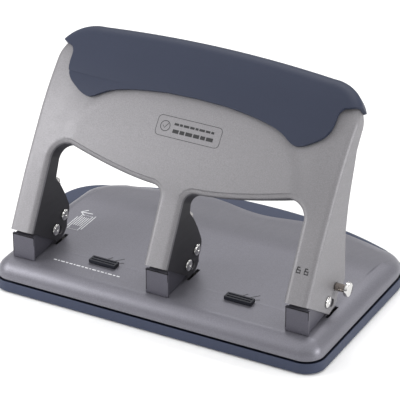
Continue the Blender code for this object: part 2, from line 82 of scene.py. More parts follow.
TRAY_LOW, TRAY_HIGH = box_mm("chip_tray")
TRAY_HALF = TRAY_HIGH.x - ORIGIN.x
TRAY_NEAR = TRAY_LOW.y - ORIGIN.y
TRAY_FAR = TRAY_HIGH.y - ORIGIN.y
TRAY_FLOOR_Z = 1.2
TRAY_RIM_Z = 8.8
RECESS_DEPTH = 1.2       # step in the tray's rim under the plate's edge, its faces painted black as shadow
GUIDE_TOP_Z = TRAY_HIGH.z
GUIDE_X = -139.7
BULGE_X = TRAY_LOW.x - ORIGIN.x

PLATE_LOW, PLATE_HIGH = box_mm("base_plate")
PLATE_HALF = (PLATE_HIGH.x - PLATE_LOW.x) / 2
PLATE_NEAR = PLATE_LOW.y - ORIGIN.y
PLATE_FAR = 168.5
PLATE_TOP = 22.6
PLATE_RIM_Z = 10.0
PLATE_BEND = PLATE_TOP - PLATE_RIM_Z
PLATE_THICK = 1.2
SCOOP_DEPTH = 10.0
SCOOP_HALF = 52.0

HANDLE_LEAN = 28.9
HANDLE_FOOT = (-3.0, 48.1)
CURL_START = 62.0
CURL_RADIUS = 230.0
HANDLE_HALF = PITCH + 9.2
LEG_HALF = 9.2
SHEET = 1.4
BEND = 4.0
CROWN_TOP = 158.8
CROWN_DROP = 4.3
CORNER_R = 28.0
TRAVEL = HINGE["range_deg"][1]
PANEL_HALF, PANEL_LOW, PANEL_HIGH = 92.5, 62.0, 118.0
PANEL_RISE, PANEL_EDGE = 1.1, 4.0
SIDE_FALL = 1.8
HORIZON_LIGHT, ZENITH_LIGHT = 0.12, 1.5

GUIDE_BOTTOM = 27.0
GUIDE_TOP = 28.3
BRIDGE_BOTTOM = 46.0
BRIDGE_TOP = 47.5
SPRING_CAP_Z = box_mm("middle_spring_cap")[0].z
PUNCH_TIP = box_mm("middle_punch")[0].z
PUNCH_R = 3.5
STEM_R = 2.5             # punch stem inside the return spring
FULCRUM_R = 2.5
DRIVE_R = 2.0
LOCK_R = 2.8
SCREW_R = 2.0
DIE_R = 5.5
BOX_HALF = 8.85          # folded front of a head's bracket
BOX_TOP = 41.8
RAIL_BOTTOM = 12.5
FOOT_SCREW_Y = 7.0
LATCH_X, LATCH_Y = 54.0, 20.2
FOOT_R = 7.0
FEET = ("foot_near_left", "foot_near_right", "foot_far_left", "foot_far_right")


def to_world(x, y, z):
    return (ORIGIN + Vector((x, y, z))) * 0.001


# ---------------------------------------------------------------- materials
class Nodes:
    """Small helper that adds and links shader nodes."""

    def __init__(self, name):
        self.mat = bpy.data.materials.new(name)
        self.mat.use_nodes = True
        self.tree = self.mat.node_tree
        self.shader = self.tree.nodes["Principled BSDF"]
        coords = self.tree.nodes.new("ShaderNodeTexCoord")
        self.place = self.tree.nodes.new("ShaderNodeMapping")
        self.place.inputs["Scale"].default_value = (1000, 1000, 1000)
        self.link(coords.outputs["Object"], self.place.inputs["Vector"])

    def link(self, out, into):
        self.tree.links.new(out, into)

    def noise(self, scale, detail=3.0, stretch=None):
        """Noise with a scale in features per millimetre; stretch squeezes it per axis."""
        tex = self.tree.nodes.new("ShaderNodeTexNoise")
        tex.inputs["Scale"].default_value = scale
        tex.inputs["Detail"].default_value = detail
        source = self.place.outputs["Vector"]
        if stretch:
            squeeze = self.tree.nodes.new("ShaderNodeMapping")
            squeeze.inputs["Scale"].default_value = stretch
            self.link(source, squeeze.inputs["Vector"])
            source = squeeze.outputs["Vector"]
        self.link(source, tex.inputs["Vector"])
        return tex.outputs["Fac"]

    def spread(self, value, low, high):
        """Map a noise value to a range."""
        node = self.tree.nodes.new("ShaderNodeMapRange")
        node.inputs["From Min"].default_value = 0.3
        node.inputs["From Max"].default_value = 0.7
        node.inputs["To Min"].default_value = low
        node.inputs["To Max"].default_value = high
        self.link(value, node.inputs["Value"])
        return node.outputs["Result"]

    def mix(self, factor, first, second):
        node = self.tree.nodes.new("ShaderNodeMix")
        node.data_type = 'RGBA'
        for value, socket in ((factor, node.inputs[0]), (first, node.inputs[6]),
                              (second, node.inputs[7])):
            if isinstance(value, bpy.types.NodeSocket):
                self.link(value, socket)
            elif isinstance(value, tuple):
                socket.default_value = (*value, 1.0)
            else:
                socket.default_value = value
        return node.outputs[2]

    def bump(self, layers):
        """Chain bump layers, each (height, strength, distance in mm)."""
        normal = None
        for height, strength, distance in layers:
            node = self.tree.nodes.new("ShaderNodeBump")
            node.inputs["Strength"].default_value = strength
            node.inputs["Distance"].default_value = distance * 0.001
            self.link(height, node.inputs["Height"])
            if normal is not None:
                self.link(normal, node.inputs["Normal"])
            normal = node.outputs["Normal"]
        self.link(normal, self.shader.inputs["Normal"])


def tint(rgb, factor):
    return tuple(min(1.0, c * factor) for c in rgb)


def paint(name, rgb, roughness, metallic, coat=0.0):
    """Sprayed metallic paint: fine flake, faint orange peel, slight rub marks."""
    n = Nodes(name)
    flake = n.noise(5.0, 1.0)
    sparkle = n.noise(1.3, 1.0)
    cloud = n.noise(0.035, 3.0)
    rub = n.noise(0.25, 4.0, (1.0, 0.15, 1.0))
    colour = n.mix(n.spread(flake, 0.0, 1.0), tint(rgb, 0.86), tint(rgb, 1.16))
    colour = n.mix(n.spread(sparkle, 0.0, 0.6), colour, tint(rgb, 0.7))
    colour = n.mix(n.spread(cloud, 0.0, 0.35), colour, tint(rgb, 0.93))
    n.link(colour, n.shader.inputs["Base Color"])
    n.shader.inputs["Metallic"].default_value = metallic
    n.link(n.spread(rub, roughness - 0.02, roughness + 0.03), n.shader.inputs["Roughness"])
    n.shader.inputs["Coat Weight"].default_value = coat
    n.shader.inputs["Coat Roughness"].default_value = 0.25
    n.bump(((n.noise(1.1, 2.0), 0.04, 0.02), (flake, 0.10, 0.010)))
    return n.mat


def moulded(name, rgb, roughness, grain=2.2, depth=0.03, sheen=0.0):
    """Moulded plastic or rubber with a spark-eroded texture and faint scuffs."""
    n = Nodes(name)
    texture = n.noise(grain, 3.0)
    cloud = n.noise(0.03, 4.0)
    scuff = n.noise(0.4, 5.0)
    colour = n.mix(n.spread(texture, 0.0, 1.0), tint(rgb, 0.9), tint(rgb, 1.1))
    colour = n.mix(n.spread(cloud, 0.0, 0.4), colour, tint(rgb, 1.12))
    n.link(colour, n.shader.inputs["Base Color"])
    n.link(n.spread(scuff, roughness - 0.02, roughness + 0.03),
           n.shader.inputs["Roughness"])
    n.shader.inputs["Specular IOR Level"].default_value = 0.3
    n.shader.inputs["Sheen Weight"].default_value = sheen
    n.bump(((texture, 0.3, depth),))
    return n.mat


def metal(name, rgb, roughness, brushed=(1.0, 1.0, 1.0), tarnish=0.15):
    """Bare or plated metal with turning marks and a little tarnish."""
    n = Nodes(name)
    marks = n.noise(3.0, 3.0, brushed)
    cloud = n.noise(0.2, 4.0)
    colour = n.mix(n.spread(cloud, 0.0, tarnish), rgb, tint(rgb, 0.55))
    n.link(colour, n.shader.inputs["Base Color"])
    n.shader.inputs["Metallic"].default_value = 1.0
    n.link(n.spread(marks, roughness * 0.75, roughness * 1.3), n.shader.inputs["Roughness"])
    n.bump(((marks, 0.08, 0.01),))
    return n.mat


def ink(name, rgb):
    """Screen-printed ink, slightly broken up."""
    n = Nodes(name)
    wear = n.noise(3.0, 4.0)
    n.link(n.mix(n.spread(wear, 0.0, 1.0), tint(rgb, 0.82), rgb),
           n.shader.inputs["Base Color"])
    n.shader.inputs["Roughness"].default_value = 0.55
    n.bump(((wear, 0.2, 0.01),))
    return n.mat


SILVER = paint("silver_paint", (0.232, 0.226, 0.238), 0.5, 0.35)
# painted shade: darker copies of the silver paint for the handle's window flanges, a half-shaded
# step on the bend and a fully shaded flange
FLANGE_HALF_SHADE = paint("half_shade_flange", (0.14, 0.137, 0.15), 0.5, 0.3)
FLANGE_FULL_SHADE = paint("full_shade_flange", (0.022, 0.021, 0.026), 0.5, 0.2)
PLATE_PAINT = paint("plate_paint", (0.175, 0.172, 0.2), 0.42, 0.45, 0.1)
BRACKET_PAINT = paint("bracket_paint", (0.085, 0.082, 0.105), 0.42, 0.4, 0.1)
TRAY_PLASTIC = moulded("tray_plastic", (0.036, 0.045, 0.08), 0.5)
GRIP_RUBBER = moulded("soft_grip", (0.021, 0.027, 0.051), 0.55, 3.0, 0.02, 0.03)
LATCH_PLASTIC = moulded("latch_plastic", (0.012, 0.013, 0.02), 0.42)
FOOT_RUBBER = moulded("foot_rubber", (0.02, 0.02, 0.022), 0.8)
STEEL = metal("plain_steel", (0.42, 0.41, 0.41), 0.34, (1.0, 1.0, 0.1))
CHROME = metal("bright_steel", (0.66, 0.65, 0.64), 0.13)
PIN_STEEL = metal("pin_steel", (0.45, 0.40, 0.36), 0.22, (0.1, 1.0, 1.0), 0.4)
# near-black material that stands in for shade in gaps: painted shadow
SHADOW_GAP = moulded("shadow_gap", (0.004, 0.004, 0.005), 0.9)
WHITE_INK = ink("white_ink", (0.75, 0.76, 0.78))
DARK_INK = ink("dark_ink", (0.008, 0.008, 0.01))


# ---------------------------------------------------------------- building tools
def add_object(name, bm, mat, smooth_angle=35):
    """Turn a bmesh in layout millimetres into a world object."""
    for v in bm.verts:
        v.co = to_world(*v.co)
    if not any(edge.is_boundary for edge in bm.edges):
        bmesh.ops.recalc_face_normals(bm, faces=bm.faces)
    mesh = bpy.data.meshes.new(name)
    bm.to_mesh(mesh)
    bm.free()
    mesh.shade_smooth()
    mesh.set_sharp_from_angle(angle=math.radians(smooth_angle))
    mesh.materials.append(mat)
    obj = bpy.data.objects.new(name, mesh)
    bpy.context.scene.collection.objects.link(obj)
    return obj


def set_piece(obj, body, slot, *nodes):
    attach(obj, body)
    if nodes:
        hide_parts(*nodes)
    return obj


def soften(obj, width, segments=3, angle=40):
    """Round the sharp edges left after the object's other modifiers."""
    mod = obj.modifiers.new("soft_edges", 'BEVEL')
    mod.width = width * 0.001
    mod.segments = segments
    mod.limit_method = 'ANGLE'
    mod.angle_limit = math.radians(angle)
    mod.harden_normals = True
    return obj


def even_normals(obj):
    mod = obj.modifiers.new("even_normals", 'WEIGHTED_NORMAL')
    mod.keep_sharp = True


def combine(target, tool, operation):
    """Add an exact boolean to the target; settle() turns its result into mesh."""
    mod = target.modifiers.new("boolean", 'BOOLEAN')
    mod.operation = operation
    mod.solver = 'EXACT'
    mod.object = tool


def settle(obj, tools=()):
    """Replace the mesh by its evaluated shape and remove the tools that cut it."""
    bpy.context.view_layer.update()
    graph = bpy.context.evaluated_depsgraph_get()
    mesh = bpy.data.meshes.new_from_object(obj.evaluated_get(graph))
    obj.modifiers.clear()
    obj.data = mesh
    for tool in tools:
        bpy.data.objects.remove(tool)
    mesh.set_sharp_from_angle(angle=math.radians(35))


def shape(target, cuts=(), joins=()):
    for tool in joins:
        combine(target, tool, 'UNION')
    for tool in cuts:
        combine(target, tool, 'DIFFERENCE')
    settle(target, list(joins) + list(cuts))
    return target


def block(name, low, high, mat=SILVER):
    bm = bmesh.new()
    bmesh.ops.create_cube(bm, size=1.0)
    for v in bm.verts:
        for k in range(3):
            v.co[k] = low[k] if v.co[k] < 0 else high[k]
    return add_object(name, bm, mat)


def prism(name, points, axis, start, end, mat=SILVER):
    """Extrude a closed outline along 'x' (points are y, z) or 'z' (points are x, y)."""
    bm = bmesh.new()
    if axis == 'x':
        verts = [bm.verts.new((start, u, v)) for u, v in points]
        step = Vector((end - start, 0, 0))
    else:
        verts = [bm.verts.new((u, v, start)) for u, v in points]
        step = Vector((0, 0, end - start))
    face = bm.faces.new(verts)
    moved = bmesh.ops.extrude_face_region(bm, geom=[face])
    new_verts = [g for g in moved["geom"] if isinstance(g, bmesh.types.BMVert)]
    bmesh.ops.translate(bm, verts=new_verts, vec=step)
    return add_object(name, bm, mat)


def turned(name, profile, centre, axis='z', sides=48, mat=STEEL):
    """Spin a (radius, height) profile about an axis through centre."""
    bm = bmesh.new()
    rings = []
    for radius, height in profile:
        if radius < 1e-6:
            rings.append([bm.verts.new((0, 0, height))])
            continue
        ring = []
        for k in range(sides):
            a = 2 * math.pi * k / sides
            ring.append(bm.verts.new((radius * math.cos(a), radius * math.sin(a), height)))
        rings.append(ring)
    pairs = list(zip(rings, rings[1:]))
    if profile[0][0] > 1e-6:
        pairs.append((rings[-1], rings[0]))
    for low, high in pairs:
        for k in range(sides):
            n = (k + 1) % sides
            quad = [low[k % len(low)], low[n % len(low)], high[n % len(high)],
                    high[k % len(high)]]
            bm.faces.new(list(dict.fromkeys(quad)))
    if axis == 'x':
        bmesh.ops.transform(bm, matrix=Matrix.Rotation(math.radians(90), 4, 'Y'),
                            verts=bm.verts)
    bmesh.ops.translate(bm, verts=bm.verts, vec=Vector(centre))
    return add_object(name, bm, mat)


def rod(name, radius, start, end, centre, axis='z', sides=32):
    return turned(name, [(0, start), (radius, start), (radius, end), (0, end)], centre,
                  axis, sides)


def arc(centre, radius, start, end, steps):
    out = []
    for k in range(steps + 1):
        a = math.radians(start + (end - start) * k / steps)
        out.append((centre[0] + radius * math.cos(a), centre[1] + radius * math.sin(a)))
    return out


def smooth_step(t):
    t = min(1.0, max(0.0, t))
    return t * t * (3 - 2 * t)


def inset_outline(points, distance):
    out = []
    count = len(points)
    for k, point in enumerate(points):
        along = (Vector(points[(k + 1) % count]) - Vector(points[k - 1])).normalized()
        out.append((point[0] - along.y * distance, point[1] + along.x * distance))
    return out


def split_faces(bm, faces, planes):
    """Cut faces along planes, each (axis index, position), and return them all."""
    for axis, position in planes:
        normal = Vector((0, 0, 0))
        normal[axis] = 1.0
        edges = {e for f in faces for e in f.edges}
        verts = {v for f in faces for v in f.verts}
        split = bmesh.ops.bisect_plane(bm, geom=faces + list(edges) + list(verts),
                                       plane_co=normal * position, plane_no=normal)
        faces = [g for g in split["geom"] if isinstance(g, bmesh.types.BMFace)]
    return faces


# ---------------------------------------------------------------- base
def far_edge(half, corner_y, far, steps):
    out = []
    for k in range(steps + 1):
        x = half * math.cos(math.pi * k / steps)
        out.append((x, far - (far - corner_y) * (abs(x) / half) ** 2.2))
    return out


def plate_outline():
    near_r = 14.0
    far_r = 36.0
    half = PLATE_HALF
    out = arc((-half + near_r, PLATE_NEAR + near_r), near_r, 180, 270, 16)
    out += arc((half - near_r, PLATE_NEAR + near_r), near_r, 270, 360, 16)
    out += [(half, y) for y in (30.0, 60.0, 90.0)]
    out += arc((half - far_r, 119.0), far_r, 0, 62, 16)
    for x, y in far_edge(half - far_r + 10.0, 152.5, PLATE_FAR, 60)[1:-1]:
        out.append((x, y - SCOOP_DEPTH * (1 - smooth_step(abs(x) / SCOOP_HALF))))
    out += arc((-half + far_r, 119.0), far_r, 118, 180, 16)
    out += [(-half, y) for y in (90.0, 60.0, 30.0)]
    return out


def tray_outline():
    near_r = 15.0
    far_r = 37.0
    half = TRAY_HALF
    out = arc((-half + near_r, TRAY_NEAR + near_r), near_r, 180, 270, 16)
    out += arc((half - near_r, TRAY_NEAR + near_r), near_r, 270, 360, 16)
    out += [(half, 60.0)]
    out += arc((half - far_r, 119.0), far_r, 0, 58, 16)
    out += far_edge(half - far_r + 11.0, 156.0, TRAY_FAR, 48)[1:-1]
    out += arc((BULGE_X + 34.0, 115.5), 34.0, 112, 180, 16)
    for k in range(17):
        share = k / 16
        out.append((BULGE_X - (half + BULGE_X) * smooth_step(share), 78.0 - 48.0 * share))
    return out


def make_tray():
    tray = prism("tray_shell", tray_outline(), 'z', TRAY_FLOOR_Z, TRAY_RIM_Z, TRAY_PLASTIC)
    hollow = prism("hollow", inset_outline(plate_outline(), 0.4), 'z', TRAY_FLOOR_Z + 1.8,
                   TRAY_RIM_Z + 5)
    guide = block("guide", (GUIDE_X - 2.6, 64.0, TRAY_RIM_Z - 2),
                  (GUIDE_X, 104.0, GUIDE_TOP_Z))
    posts = [block("post", (side * LATCH_X - 4, 27.6, TRAY_FLOOR_Z + 1),
                   (side * LATCH_X + 4, 30.4, 14.6)) for side in (-1, 1)]
    pockets = []
    for name in FEET:
        middle = middle_mm(name) - ORIGIN
        pockets.append(rod("pocket", FOOT_R + GAP, 0.0, 2.5, (middle.x, middle.y, 0)))
    recess = prism("recess", inset_outline(plate_outline(), -0.6), 'z',
                   TRAY_RIM_Z - RECESS_DEPTH, TRAY_RIM_Z + 5)
    shape(tray, cuts=[hollow])
    shape(tray, cuts=[recess])
    shape(tray, cuts=pockets, joins=[guide] + posts)
    # painted shadow: the recess faces under the plate's edge take the black shadow_gap material
    tray.data.materials.append(SHADOW_GAP)
    low = to_world(0, 0, TRAY_RIM_Z - RECESS_DEPTH - 0.1).z
    high = to_world(0, 0, TRAY_RIM_Z - 0.2).z
    for face in tray.data.polygons:
        if low < face.center.z < high:
            face.material_index = 1
    soften(tray, 0.45)
    set_piece(tray, "tray", "tray_plastic", "chip_tray")


def make_feet():
    for name in FEET:
        middle = middle_mm(name) - ORIGIN
        profile = [(0, 0.3), (3.2, 0.3), (3.5, 0.0), (FOOT_R - 1.0, 0.0),
                   (FOOT_R - 0.3, 0.3), (FOOT_R, 0.9), (FOOT_R, 2.2), (0, 2.2)]
        foot = turned(name + "_pad", profile, (middle.x, middle.y, 0), mat=FOOT_RUBBER)
        set_piece(foot, "tray", "foot_rubber", name)


def plate_rise(y):
    slope = smooth_step((y - 96.0) / 74.0)
    return (PLATE_TOP - PLATE_RIM_Z) * (1 - slope) + 1.6 * slope


def plate_z(y):
    """Height of the plate's top, with a shallow rolled line in front of the pins."""
    crease = 0.1 * math.exp(-((y - 23.5) / 0.7) ** 2)
    return PLATE_RIM_Z + plate_rise(y) - crease


def make_plate():
    outline = plate_outline()
    bm = bmesh.new()
    rings = []
    for k in range(11):
        t = math.radians(9 * k)
        share = 1 - math.cos(t)
        rise = math.sin(t)
        rings.append([bm.verts.new((x, y, PLATE_RIM_Z + plate_rise(y) * rise))
                      for x, y in inset_outline(outline, share * PLATE_BEND)])
    for low, high in zip(rings, rings[1:]):
        for k in range(len(outline)):
            n = (k + 1) % len(outline)
            bm.faces.new((low[k], low[n], high[n], high[k]))
    planes = [(1, 21.5 + 0.5 * k) for k in range(9)] + [(1, 96.0 + 3.0 * k) for k in range(25)]
    top = split_faces(bm, [bm.faces.new(rings[-1])], planes)
    for v in {v for f in top for v in f.verts}:
        v.co.z = plate_z(v.co.y)
    bmesh.ops.triangulate(bm, faces=top)
    plate = add_object("plate_pan", bm, PLATE_PAINT)
    skin = plate.modifiers.new("sheet", 'SOLIDIFY')
    skin.thickness = PLATE_THICK * 0.001
    skin.offset = -1.0
    cuts = []
    for name, x in HEADS:
        cuts.append(rod("die_hole", PUNCH_R + GAP, 18.0, 26.0, (x, PUNCH_Y, 0)))
        cuts.append(rod("foot_hole", SCREW_R + GAP, 18.0, 26.0, (x, FOOT_SCREW_Y, 0)))
        for side in (-1, 1):
            ear = x + side * (LEG_HALF - SHEET / 2)
            cuts.append(block("ear_slot", (ear - 1.4, 28.5, 18.0), (ear + 1.4, 45.5, 26.0)))
    for side in (-1, 1):
        cuts.append(block("latch_slot", (side * LATCH_X - 5.6, LATCH_Y - 3.3, 18.0),
                          (side * LATCH_X + 5.6, LATCH_Y + 3.3, 26.0)))
    shape(plate, cuts=cuts)
    even_normals(plate)
    set_piece(plate, "base", "silver_paint", "base_plate")


def make_latches():
    for name, side in (("left", -1), ("right", 1)):
        x = side * LATCH_X
        bottom, top = PLATE_TOP + GAP, PLATE_TOP + 3.0
        cap = block(name + "_latch_tab", (x - 10.5, LATCH_Y - 3.5, bottom),
                    (x + 10.5, LATCH_Y + 3.5, top), LATCH_PLASTIC)
        stem = block("stem", (x - 5.0, LATCH_Y + 1.0, 15.2),
                     (x + 5.0, LATCH_Y + 3.0, bottom + 0.8))
        nose = block("nose", (x - 5.0, LATCH_Y + 1.5, 15.2), (x + 5.0, LATCH_Y + 9.0, 17.2))
        grooves = [block("groove", (x - 9.2, LATCH_Y + at - 0.6, top - 1.1),
                         (x + 9.2, LATCH_Y + at + 0.6, top + 1)) for at in (-1.45, 1.45)]
        shape(cap, cuts=grooves, joins=[stem, nose])
        soften(cap, 0.35, 3)
        set_piece(cap, name + "_latch", "latch_plastic", name + "_tray_latch")


# ---------------------------------------------------------------- punch heads
def make_bracket(name, x):
    wall, inner = 7.3, 5.8
    base = PLATE_TOP + GAP
    side = [(1.5, base), (12.0, base), (33.0, 25.2), (34.5, GUIDE_BOTTOM),
            (48.0, GUIDE_BOTTOM), (48.0, BRIDGE_TOP), (24.0, BRIDGE_TOP), (10.0, BOX_TOP),
            (1.5, BOX_TOP)]
    bracket = prism(name + "_bracket", side, 'x', x - wall, x + wall, BRACKET_PAINT)
    front = block("front", (x - BOX_HALF, 0.0, base), (x + BOX_HALF, 1.8, BOX_TOP))
    channel = [(3.2, 25.2), (31.0, GUIDE_TOP), (49.0, GUIDE_TOP), (49.0, BRIDGE_BOTTOM),
               (31.0, BRIDGE_BOTTOM), (31.0, 60.0), (3.2, 60.0)]
    down = math.atan2(DRIVE[1] - FULCRUM[1], DRIVE[0] - FULCRUM[0]) - math.radians(TRAVEL)
    reach = math.dist(FULCRUM, DRIVE)
    lock_y = FULCRUM[0] + reach * math.cos(down)
    lock_z = FULCRUM[1] + reach * math.sin(down)
    shape(bracket, joins=[front])
    shape(bracket, cuts=[
        prism("channel", channel, 'x', x - inner, x + inner),
        block("notch", (x - 9, 37.2, 37.4), (x + 9, 50.0, BRIDGE_BOTTOM)),
        block("neck", (x - 9, lock_y - 2.5, lock_z), (x + 9, lock_y + 2.3, 39.0)),
        rod("lock_hole", 3.2, -9, 9, (x, lock_y, lock_z), 'x'),
        rod("fulcrum_hole", FULCRUM_R + GAP, -9, 9, (x, *FULCRUM), 'x'),
        rod("guide_hole", PUNCH_R + GAP, 24.0, 30.0, (x, PUNCH_Y, 0)),
        rod("bridge_hole", STEM_R + GAP, 44.0, 50.0, (x, PUNCH_Y, 0)),
        rod("screw_hole", SCREW_R + GAP, 20.0, 30.0, (x, FOOT_SCREW_Y, 0))])
    soften(bracket, 0.3, 3)
    set_piece(bracket, "base", "bracket_paint", name + "_head_bracket")


def make_box_seams(name, x):
    """Black strips as painted shadow in the open joints round the folded front of a head's box.
    """
    top = BOX_TOP - 0.05
    seams = {"top": (x - 8.8, x + 8.8, top - 0.9), "left": (x - 8.5, x - 8.1, 25.5),
             "right": (x + 8.3, x + 8.7, 35.0)}
    # each strip is painted shadow standing a hair in front of the box face
    for side, (left, right, bottom) in seams.items():
        seam = block(name + "_box_seam_" + side, (left, -0.05, bottom), (right, -0.01, top),
                     SHADOW_GAP)
        set_piece(seam, "base", "bracket_paint")


def make_pin(name, x, centre, shank, body):
    """Riveted pin: a domed head with a rolled rim and a dimple at each end."""
    half = LEG_HALF + GAP
    head = 4.25
    dome = [(shank, half), (head - 0.2, half), (head, half + 0.2), (head - 0.05, half + 0.45)]
    for k in range(1, 6):
        t = math.radians(75 * k / 5)
        dome.append(((head - 0.1) * math.cos(t), half + 0.45 + 0.9 * math.sin(t)))
    dome += [(0.9, half + 0.9), (0.0, half + 0.7)]
    profile = [(r, -h) for r, h in reversed(dome)] + dome
    pin = turned(name + "_rivet", profile, (x, *centre), 'x', mat=CHROME)
    set_piece(pin, body, "bright_steel", name)


def make_punch(name, x):
    profile = [(0, PUNCH_TIP + 0.9), (PUNCH_R - 0.9, PUNCH_TIP + 0.9), (PUNCH_R, PUNCH_TIP),
               (PUNCH_R, 37.6), (4.8, 37.6), (5.0, 37.8), (5.0, 45.1), (4.8, 45.3),
               (STEM_R, 45.3), (STEM_R, SPRING_CAP_Z + 1.7), (2.2, SPRING_CAP_Z + 2.0),
               (0, SPRING_CAP_Z + 2.0)]
    punch = turned(name + "_punch_body", profile, (x, PUNCH_Y, 0))
    slot = block("slot", (x - 6, PUNCH_Y - 3.1, DRIVE[1] - 2.3),
                 (x + 6, PUNCH_Y + 3.1, DRIVE[1] + 2.3))
    shape(punch, cuts=[slot])
    set_piece(punch, name + "_plunger", "plain_steel", name + "_punch")
    ring = [(STEM_R + GAP, SPRING_CAP_Z), (5.2, SPRING_CAP_Z), (5.2, SPRING_CAP_Z + 1.4),
            (4.95, SPRING_CAP_Z + 1.8), (4.6, SPRING_CAP_Z + 2.0),
            (STEM_R + GAP, SPRING_CAP_Z + 2.0)]
    cap = turned(name + "_cap_ring", ring, (x, PUNCH_Y, 0))
    set_piece(cap, name + "_plunger", "plain_steel", name + "_spring_cap")


def make_spring(name, x):
    """Wound wire with closer end turns."""
    wire, mean = 0.55, 3.9
    low = BRIDGE_TOP + GAP + wire
    high = SPRING_CAP_Z - GAP - wire
    turns, steps, sides = 6, 32, 10
    bm = bmesh.new()
    rings = []
    total = turns * steps
    for k in range(total + 1):
        a = 2 * math.pi * k / steps
        out = Vector((math.cos(a), math.sin(a), 0))
        share = k / total
        rise = smooth_step(share) * 0.5 + share * 0.5
        centre = Vector((x, PUNCH_Y, low + (high - low) * rise)) + out * mean
        rings.append([bm.verts.new(centre + out * wire * math.cos(2 * math.pi * j / sides)
                                   + Vector((0, 0, wire * math.sin(2 * math.pi * j / sides))))
                      for j in range(sides)])
    for first, second in zip(rings, rings[1:]):
        for j in range(sides):
            n = (j + 1) % sides
            bm.faces.new((first[j], first[n], second[n], second[j]))
    bm.faces.new(rings[0])
    bm.faces.new(rings[-1])
    spring = add_object(name + "_spring_wire", bm, CHROME, 50)
    set_piece(spring, "base", "bright_steel", name + "_return_spring")
    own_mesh(spring)


def make_small_steel(name, x):
    bore = 3.65
    die = turned(name + "_die", [(bore, 12.0), (DIE_R, 12.0), (DIE_R, 20.7),
                                 (DIE_R - 0.2, 20.9), (bore + 0.1, 20.9), (bore, 20.8)],
                 (x, PUNCH_Y, 0))
    set_piece(die, "base", "plain_steel", name + "_die_bush")
    profile = [(0, 9.6), (3.4, 9.6), (3.8, 10.2), (3.8, RAIL_BOTTOM - GAP),
               (SCREW_R, RAIL_BOTTOM - GAP), (SCREW_R, 24.1), (1.7, 24.4), (0, 24.4)]
    screw = turned(name + "_screw", profile, (x, FOOT_SCREW_Y, 0))
    recess = [block("recess", (x - w, FOOT_SCREW_Y - d, 9.0),
                    (x + w, FOOT_SCREW_Y + d, 10.8)) for w, d in ((2.2, 0.4), (0.4, 2.2))]
    shape(screw, cuts=recess)
    set_piece(screw, "base", "plain_steel", name + "_head_screw")


# ---------------------------------------------------------------- handle
def on_handle(x, along, depth):
    """Layout point at a distance along the handle's curled face and behind it."""
    if along <= CURL_START:
        rise, back, tilt = along, 0.0, 0.0
    else:
        tilt = (along - CURL_START) / CURL_RADIUS
        rise = CURL_START + CURL_RADIUS * math.sin(tilt)
        back = CURL_RADIUS * (1 - math.cos(tilt))
    back += depth * math.cos(tilt)
    rise -= depth * math.sin(tilt)
    lean = math.radians(HANDLE_LEAN)
    y = HANDLE_FOOT[0] + rise * math.sin(lean) + back * math.cos(lean)
    z = HANDLE_FOOT[1] + rise * math.cos(lean) - back * math.sin(lean)
    return Vector((x, y, z))


EAR = ((-1.5, 42.0, -3.2), (3.0, 50.0, 0.0), (10.8, 48.0, 0.0), (15.2, 49.2, 0.0),
       (22.3, 46.9, 0.0), (30.0, 36.5, 0.0), (36.3, 26.0, 0.0), (40.1, 17.0, 0.0))
OUTER_EAR = ((-1.5, 42.0, -3.2), (3.0, 50.0, 0.0), (11.0, 48.6, 0.0), (16.6, 54.0, 0.0),
             (20.5, 55.6, 0.0), (25.0, 53.2, 0.0), (39.0, 44.6, 0.0), (53.8, 35.4, 0.0),
             (71.0, 28.6, 0.0), (88.7, 23.6, 0.0), (102.8, 19.2, 0.0), (113.0, 15.0, 0.0))


def rounded_ear(points):
    """Replace each corner of an ear's outline by two points, which rounds it off."""
    out = [points[0]]
    for before, here, after in zip(points, points[1:], points[2:]):
        for other in (before, after):
            span = math.dist(here[:2], other[:2])
            share = min(0.3, 1.6 / span)
            out.append(tuple(h + (o - h) * share for h, o in zip(here, other)))
    return out + [points[-1]]


def window_chain():
    inner = LEG_HALF
    outer = PITCH - LEG_HALF
    ear = rounded_ear(EAR)
    chain = [(inner, a, BEND, depth, drop) for a, depth, drop in ear]
    for x, a in arc((inner + 8.0, 46.0), 8.0, 180, 90, 12):
        chain.append((x, a, BEND, 15.0, 0.0))
    for k in range(1, 25):
        t = k / 24
        x = inner + 8.0 + (86.0 - inner - 8.0) * t
        chain.append((x, 54.0 + 12.8 * t ** 1.5, BEND, 13.0, 0.0))
    for x, a in arc((86.0, 54.05), outer - 86.0, 75, 0, 12):
        chain.append((x, a, BEND, 15.0, 0.0))
    chain += [(outer, a, BEND, depth, drop) for a, depth, drop in reversed(ear)]
    return chain


def crown_along(x):
    return CROWN_TOP - CROWN_DROP * (x / 88.0) ** 2


def top_chain(steps=21):
    chain = []
    corner_top = crown_along(HANDLE_HALF - CORNER_R)
    centre = (HANDLE_HALF - CORNER_R, corner_top - CORNER_R)
    for k, (x, a) in enumerate(arc(centre, CORNER_R, 0, 90, steps)):
        chain.append((x, a, BEND + 3.0 * k / steps, 13.0, 0.0))
    for k in range(1, 17):
        x = centre[0] * (1 - k / 16)
        chain.append((x, crown_along(x), BEND + 3.0, 13.0, 0.0))
    return chain


def mirrored(chain):
    return [(-x, a, r, depth, drop) for x, a, r, depth, drop in reversed(chain)]


def panel_share(x, along):
    """1 on the raised middle panel of the face, 0 beside it, smooth in between."""
    def level(u, v):
        t = max(0.0, (v - PANEL_LOW) / (PANEL_HIGH - PANEL_LOW))
        return t ** 2.6 + (abs(u) / PANEL_HALF) ** 3.03 - 1
    here = level(x, along)
    slope = math.hypot(level(x + 0.5, along) - level(x - 0.5, along),
                       level(x, along + 0.5) - level(x, along - 0.5))
    inside = -here / max(slope, 1e-4)
    share = smooth_step((inside - 0.4) / PANEL_EDGE)
    return share * smooth_step((along - 44.0) / 16.0)


def side_fall(x, along):
    """How far the strips beside the panel lean back towards the handle's outer edges."""
    return SIDE_FALL * smooth_step((abs(x) - 92.0) / 24.0) * smooth_step((along - 35) / 40)


